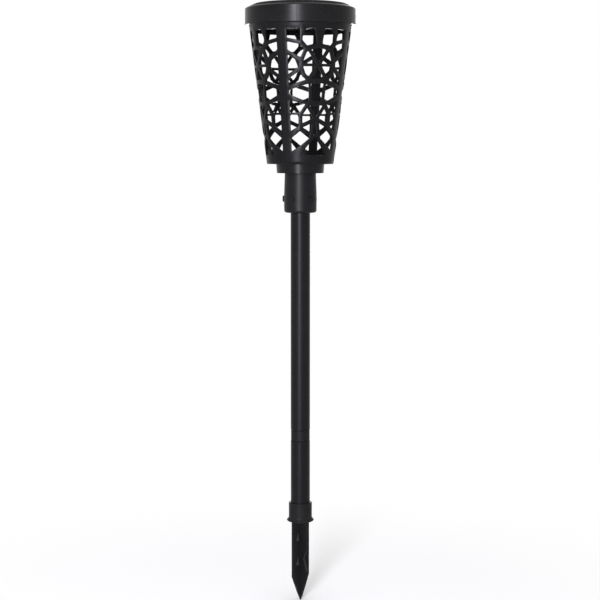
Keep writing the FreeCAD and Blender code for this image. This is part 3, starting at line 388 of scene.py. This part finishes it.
def strut_distance(x, h, strut):
    """Distance from a strut: how far a point lies off its centre line, less half its width there."""
    a0, h0, w0, a1, h1, w1 = strut
    sx, sz = (a1 - a0) * per_degree((h0 + h1) / 2), h1 - h0
    length = hypot(sx, sz)
    qx, qz = x - a0 * per_degree(h), h - h0
    along = (qx * sx + qz * sz) / length
    side = np.abs(qz * sx - qx * sz) / length - 0.5 * (w0 + (w1 - w0) * np.clip(along / length, 0, 1))
    end = np.maximum(-along, along - length) - 0.3
    return np.where((side > 0) & (end > 0), np.hypot(side, end), np.maximum(side, end))


def in_polygon(poly, x, y):
    """Whether points lie inside: a line to one side crosses the outline an odd number of times."""
    odd = np.zeros(np.shape(x), bool)
    for (ax, ay), (bx, by) in zip(poly, np.roll(poly, -1, axis=0)):
        if ay != by:
            odd ^= ((ay <= y) != (by <= y)) & (x < ax + (y - ay) / (by - ay) * (bx - ax))
    return odd


def web_distance(x, h, web):
    """Distance from a solid web: to the nearest of its sides, and negative inside it."""
    k = per_degree(h)
    near = np.full(np.shape(x), 1e9)
    for (ax, ay), (bx, by) in zip(web, np.roll(web, -1, axis=0)):
        ex, ey = (bx - ax) * k, by - ay
        wx, wy = x - ax * k, h - ay
        t = np.clip((wx * ex + wy * ey) / (ex * ex + ey * ey), 0, 1)
        near = np.minimum(near, np.hypot(wx - ex * t, wy - ey * t))
    return np.where(in_polygon(web, x / k, h), -near, near)


def fret(phi, h):
    """Distance in mm from the fretwork's plastic, negative inside it."""
    x = np.abs(phi) * per_degree(h)
    rib = RIB_LOW + (RIB_TOP - RIB_LOW) * (h - BAND_LOW) / (BAND_TOP - BAND_LOW)
    d = joined(HALF * per_degree(h) - x - rib, np.minimum(h - BAND_LOW, BAND_TOP - h))
    for strut in STRUTS:
        d = joined(d, strut_distance(x, h, strut))
    for web in WEBS:
        d = joined(d, web_distance(x, h, web))
    return d


def zero_lines(f, xs, ys):
    """Closed outlines where the grid f changes sign, walked cell by cell."""
    pos = f > 0
    link, where = {}, {}
    count = pos[:-1, :-1].astype(int) + pos[1:, :-1] + pos[:-1, 1:] + pos[1:, 1:]
    for r, c in zip(*np.nonzero(count % 4)):
        ring = [(r, c), (r, c + 1), (r + 1, c + 1), (r + 1, c)]
        ends = {}
        for p, q in zip(ring, ring[1:] + ring[:1]):
            if pos[p] != pos[q]:
                a, b = min(p, q), max(p, q)
                t = f[a] / (f[a] - f[b])
                where[a, b] = (xs[a[1]] + (xs[b[1]] - xs[a[1]]) * t, ys[a[0]] + (ys[b[0]] - ys[a[0]]) * t)
                ends.setdefault(pos[q], []).append((a, b))
        link.update(zip(ends[False], ends[True]))
    loops = []
    while link:
        key, loop = next(iter(link)), []
        while key in link:
            loop.append(where[key])
            key = link.pop(key)
        loops.append(np.array(loop))
    return loops


def thinned(q, tolerance, longest):
    """A closed outline with the points that its shape needs, and long runs divided."""
    n = len(q)
    q = np.roll(q, -int(np.argmax(np.hypot(*(q - q.mean(0)).T))), axis=0)
    far = int(np.argmax(np.hypot(*(q - q[0]).T)))
    keep, todo = {0, far}, [(0, far), (far, n)]
    while todo:
        i, j = todo.pop()
        if j - i < 2:
            continue
        run, w = q[j % n] - q[i], q[i + 1:j] - q[i]
        off = np.abs(w[:, 0] * run[1] - w[:, 1] * run[0]) / max(hypot(*run), 1e-9)
        worst = int(np.argmax(off))
        if off[worst] > tolerance:
            keep.add(i + 1 + worst)
            todo += [(i, i + 1 + worst), (i + 1 + worst, j)]
    keep = sorted(keep)
    out = []
    for i, j in zip(keep, keep[1:] + [keep[0] + n]):
        run = q[j % n] - q[i]
        steps = max(1, int(np.ceil(hypot(*run) / longest)))
        out += [q[i] + run * s / steps for s in range(steps)]
    return np.array(out)


def openings():
    """Outlines of a panel's openings: where the distance is zero, without specks, thinned to their shape."""
    xs = np.linspace(-HALF, HALF, 241)
    ys = np.linspace(BAND_LOW - 2.0, BAND_TOP + 2.0, 401)
    out = []
    for loop in zero_lines(fret(*np.meshgrid(xs, ys)), xs, ys):
        k = per_degree(loop[:, 1].mean())
        x, y = loop[:, 0] * k, loop[:, 1]
        if 0.5 * abs(np.sum(x * np.roll(y, -1) - np.roll(x, -1) * y)) > SMALLEST:
            out.append(thinned(loop * (k, 1.0), STRAY, LONGEST) / (k, 1.0))
    return out


def into_plastic(loop, by):
    """The loop moved by a distance into the plastic round it."""
    k, e = per_degree(loop[:, 1]), 0.02
    gx = fret(loop[:, 0] + e / k, loop[:, 1]) - fret(loop[:, 0] - e / k, loop[:, 1])
    gy = fret(loop[:, 0], loop[:, 1] + e) - fret(loop[:, 0], loop[:, 1] - e)
    g = np.maximum(np.hypot(gx, gy), 1e-6)
    return loop - np.stack([gx / g / k, gy / g], 1) * by


def panel_face(rings, phis, heights):
    """Points and triangles of one panel's face, with the rings open and their points first, in order."""
    flat_k = per_degree(FLAT_AT)
    points, edges = [], []
    for ring in rings:
        at, n = len(points), len(ring)
        points += [tuple(p) for p in ring]
        edges += [(at + i, at + (i + 1) % n) for i in range(n)]
    border = [(p, heights[0]) for p in phis] + [(HALF, h) for h in heights[1:]]
    border += [(p, heights[-1]) for p in phis[::-1][1:]] + [(-HALF, h) for h in heights[::-1][1:-1]]
    at, n = len(points), len(border)
    points += border
    edges += [(at + i, at + (i + 1) % n) for i in range(n)]
    grid = np.array([(p, h) for p in phis[1:-1] for h in heights[1:-1]])
    points += [tuple(p) for p in grid[fret(grid[:, 0], grid[:, 1]) < -(EDGE + 0.7)]]
    flat = [Vector((p * flat_k, h)) for p, h in points]
    done, _, tris, source, _, _ = delaunay_2d_cdt(flat, edges, [], 0, 1e-7)
    index = []
    for v, came_from in zip(done, source):
        if came_from:
            index.append(came_from[0])
        else:
            index.append(len(points))
            points.append((v[0] / flat_k, v[1]))
    points = np.array(points, float)
    tris = np.array([[index[i] for i in t] for t in tris])
    mid = points[tris].mean(1)
    hole = np.zeros(len(tris), bool)
    for ring in rings:
        hole |= in_polygon(ring, mid[:, 0], mid[:, 1])
    return points, tris[~hole]


def closed_mesh(name, verts, faces, merge=0.0):
    """A mesh whose points within merge metres are one, with its faces turned outwards."""
    mesh = bpy.data.meshes.new(name)
    mesh.from_pydata(verts, [], faces)
    bm = bmesh.new()
    bm.from_mesh(mesh)
    if merge:
        bmesh.ops.remove_doubles(bm, verts=bm.verts, dist=merge)
    bmesh.ops.recalc_face_normals(bm, faces=bm.faces)
    bm.to_mesh(mesh)
    bm.free()
    return mesh


class Shell:
    """Vertices and faces in millimetres, built up row by row."""
    def __init__(s):
        s.rows, s.faces, s.count = [], [], 0

    def add(s, azimuth, r, h):
        """A row of points at azimuths, radii and heights; gives their numbers."""
        t = np.radians(azimuth)
        t, r, h = np.broadcast_arrays(t, r, h)
        s.rows.append(np.stack([r * np.sin(t), -r * np.cos(t), BASKET_FOOT + h], 1))
        s.count += len(t)
        return np.arange(s.count - len(t), s.count)

    def strip(s, a, b):
        """Four-sided faces between two closed rows."""
        s.faces += np.stack([a, np.roll(a, -1), np.roll(b, -1), b], 1).tolist()

    def lathe(s, azimuths, profile):
        """Rows turned round Z from a profile of radii and heights, joined by faces."""
        rows = [s.add(azimuths, r, h) for r, h in profile]
        for a, b in zip(rows, rows[1:]):
            s.strip(a, b)
        return rows


def fretwork_mesh():
    """Closed mesh of the basket: an outer and an inner cone with the panels' openings, joined round each
    opening through rounded edges, and turned rows for the foot, the floor and the rim."""
    loops = openings()
    faces_at, turn_at = [into_plastic(p, EDGE) for p in loops], [into_plastic(p, EDGE * BEND) for p in loops]
    low = FLOOR_T + 1.2
    phis = np.linspace(-HALF, HALF, 31)
    heights = np.concatenate([[low], np.linspace(6.0, 144.0, 33), [CONE_TOP]])
    points, tris = panel_face(faces_at, phis, heights)
    shell = Shell()
    for i in range(PANELS):
        turn = PANEL_MID + 2 * HALF * i
        outer = shell.add(points[:, 0] + turn, cone_r(points[:, 1]), points[:, 1])
        inner = shell.add(points[:, 0] + turn, cone_r(points[:, 1]) - WALL, points[:, 1])
        shell.faces += outer[tris].tolist() + inner[tris[:, ::-1]].tolist()
        at = 0
        for loop, bend in zip(loops, turn_at):
            n = len(loop)
            rows = [outer[at:at + n]]
            for ring, depth in ((bend, EDGE * BEND), (loop, EDGE),
                                (loop, WALL - EDGE), (bend, WALL - EDGE * BEND)):
                rows.append(shell.add(ring[:, 0] + turn, cone_r(ring[:, 1]) - depth, ring[:, 1]))
            rows.append(inner[at:at + n])
            at += n
            for a, b in zip(rows, rows[1:]):
                shell.strip(a, b)
    round_axis = np.concatenate([PANEL_MID + 2 * HALF * i + phis[:-1] for i in range(PANELS)])
    foot = shell.lathe(round_axis, [(cone_r(low), low), (cone_r(EDGE), EDGE), (R_FOOT - 0.12, 0.1),
                                    (R_FOOT - EDGE, 0.0)] + [(r, 0.0) for r in FLOOR_RINGS])
    floor_r = cone_r(FLOOR_T) - WALL
    floor_top = shell.lathe(round_axis, [(r, FLOOR_T) for r in FLOOR_RINGS[::-1]] + [
        (floor_r - 1.2, FLOOR_T), (floor_r - 0.35, FLOOR_T + 0.35), (cone_r(low) - WALL, low)])
    shell.faces += [foot[-1].tolist(), floor_top[0][::-1].tolist()]
    bore = RIM_R - RIM_WALL
    shell.lathe(round_axis, [(cone_r(CONE_TOP) - WALL, CONE_TOP), (bore, RIM_TOP - EDGE),
                             (bore + 0.12, RIM_TOP - 0.1), (bore + EDGE, RIM_TOP), (RIM_R - EDGE, RIM_TOP),
                             (RIM_R - 0.12, RIM_TOP - 0.1), (RIM_R, RIM_TOP - EDGE), (RIM_R, RIM_LEDGE),
                             (cone_r(CONE_TOP), CONE_TOP)])
    return closed_mesh("basket_fretwork", (np.concatenate(shell.rows) * MM).tolist(), shell.faces, 2e-6)


def notch_cutter():
    """Wedge that cuts the cap's key notch out of the rim."""
    corners = [(a, r) for a in KEY_NOTCH for r in (RIM_R - 8.0, RIM_R + 4.0)]
    verts = [(r * sin(radians(a)) * MM, -r * cos(radians(a)) * MM, (BASKET_FOOT + h) * MM)
             for h in (KEY_FOOT, RIM_TOP + 4.0) for a, r in corners]
    sides = [(0, 1, 3, 2), (4, 6, 7, 5), (0, 4, 5, 1), (2, 3, 7, 6), (0, 2, 6, 4), (1, 5, 7, 3)]
    return closed_mesh("notch", verts, sides)


def cut_away(mesh, cutter):
    """The mesh with the cutter's shape taken out of it."""
    piece, tool = bpy.data.objects.new("piece", mesh), bpy.data.objects.new("tool", cutter)
    for o in (piece, tool):
        scene.collection.objects.link(o)
    cut = piece.modifiers.new("cut", "BOOLEAN")
    cut.operation, cut.solver, cut.object = "DIFFERENCE", "EXACT", tool
    bpy.context.view_layer.update()
    result = bpy.data.meshes.new_from_object(piece.evaluated_get(bpy.context.evaluated_depsgraph_get()))
    for o in (piece, tool):
        bpy.data.objects.remove(o)
    return result


fretwork = cut_away(fretwork_mesh(), notch_cutter())
fretwork.materials.clear()
fretwork.materials.append(basket_finish.material)
fretwork.shade_smooth()
fretwork.set_sharp_from_angle(angle=radians(50))
basket = bpy.data.objects.new("basket_fretwork", fretwork)
scene.collection.objects.link(basket)
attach(basket, "head")
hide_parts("basket")

# ---------------------------------------------------------------- floor and backdrop
WHITE = 1.0             # the background
FLOOR_RADIUS = 60.0
FLOOR_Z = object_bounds()[0].z - 0.0004     # just clear of the spike's point
SHADOW_KEPT, ALL_WHITE = 120.0, 520.0   # mm from the torch, between which the floor turns plain white


def background_seen(tree):
    """1 for rays that show the white background: the camera's, reflected ones, and through clear pieces."""
    through = tree.node("ShaderNodeLightPath", out="Is Transmission Ray")
    reflected = tree.node("ShaderNodeLightPath", out="Is Glossy Ray")
    return tree.node("ShaderNodeLightPath", out="Is Camera Ray").max(through).max(reflected)


def white_floor():
    """Pale matt floor round the torch, which runs out into the white background."""
    m = Finish("floor_white", (0.86, 0.86, 0.86), 0.9, Specular_IOR_Level=0.1)
    m.set(Base_Color=m.mix(m.noise(900.0, 2.0), (0.85, 0.85, 0.85), (0.87, 0.87, 0.87)))
    away = (m.x * m.x + m.y * m.y).math("SQRT").step(SHADOW_KEPT, ALL_WHITE)
    glow = m.node("ShaderNodeEmission", {"Color": (1.0, 1.0, 1.0), "Strength": WHITE}, out="Emission")
    shader = next(n for n in m.tree.nodes if n.bl_idname == "ShaderNodeBsdfPrincipled")
    lit = Value(m, shader.outputs[0])
    both = m.node("ShaderNodeMixShader", {0: background_seen(m) * away, 1: lit, 2: glow})
    m.put(m.tree.nodes["Material Output"].inputs["Surface"], both)
    return m


bm = bmesh.new()
bmesh.ops.create_circle(bm, cap_ends=True, segments=96, radius=FLOOR_RADIUS)
bmesh.ops.translate(bm, verts=bm.verts, vec=(0, 0, FLOOR_Z))
floor_mesh = bpy.data.meshes.new("floor")
bm.to_mesh(floor_mesh)
bm.free()
floor_mesh.materials.append(white_floor().material)
floor = bpy.data.objects.new("floor", floor_mesh)
scene.collection.objects.link(floor)


# ---------------------------------------------------------------- lamps and world
def round_about(azimuth, r, z):
    """Point at an azimuth from the front, positive to +X."""
    return Vector((r * sin(radians(azimuth)), -r * cos(radians(azimuth)), z))


def softbox(name, at, aim, wide, high, power, colour=(1, 1, 1)):
    """Rectangular soft lamp at a point, turned towards another."""
    lamp = bpy.data.lights.new(name, "AREA")
    lamp.shape, lamp.size, lamp.size_y, lamp.energy, lamp.color = "RECTANGLE", wide, high, power, colour
    o = bpy.data.objects.new(name, lamp)
    o.matrix_world = Matrix.Translation(at) @ (aim - at).to_track_quat("-Z", "Y").to_matrix().to_4x4()
    scene.collection.objects.link(o)


LAMP_AWAY = 1.7         # metres
KEY_POWER, BACK_POWER, SUN = 44, 14, 1.5
KEY_COLOUR = (1.0, 0.985, 1.085)
softbox("key", round_about(-11, LAMP_AWAY, 0.42), Vector((0, 0, 0.35)), 0.36, 1.0, KEY_POWER, KEY_COLOUR)
softbox("back", round_about(176, LAMP_AWAY, 0.60), Vector((0, 0, 0.30)), 0.5, 1.1, BACK_POWER)
sun = bpy.data.lights.new("overhead", "SUN")
sun.energy, sun.angle = SUN, radians(50)
overhead = bpy.data.objects.new("overhead", sun)
overhead.rotation_euler = (radians(4), 0, 0)
overhead.visible_glossy = False
scene.collection.objects.link(overhead)


def studio(fill=0.2):
    """World: the same white backdrop all round wherever the background is seen; a plain fill lights the
    surfaces."""
    world = bpy.data.worlds.new("studio")
    scene.world = world
    w = Tree(world)
    w.put(w.tree.nodes["Background"].inputs["Color"], (1.0, 1.0, 1.0))
    w.put(w.tree.nodes["Background"].inputs["Strength"], background_seen(w) * (WHITE - fill) + fill)


studio()

# ---------------------------------------------------------------- camera
TILT = radians(6.426)
CAMERA_AT = (-0.0004, -1.517, 0.4144)
LENS, SENSOR = 84.71, 36.0
cam = bpy.data.cameras.new("camera")
cam.lens, cam.sensor_width = LENS, SENSOR
camera = bpy.data.objects.new("camera", cam)
camera.matrix_world = Matrix.Translation(CAMERA_AT) @ Matrix.Rotation(pi / 2 - TILT, 4, "X")
scene.collection.objects.link(camera)
scene.camera = camera
scene.view_settings.view_transform = "Standard"
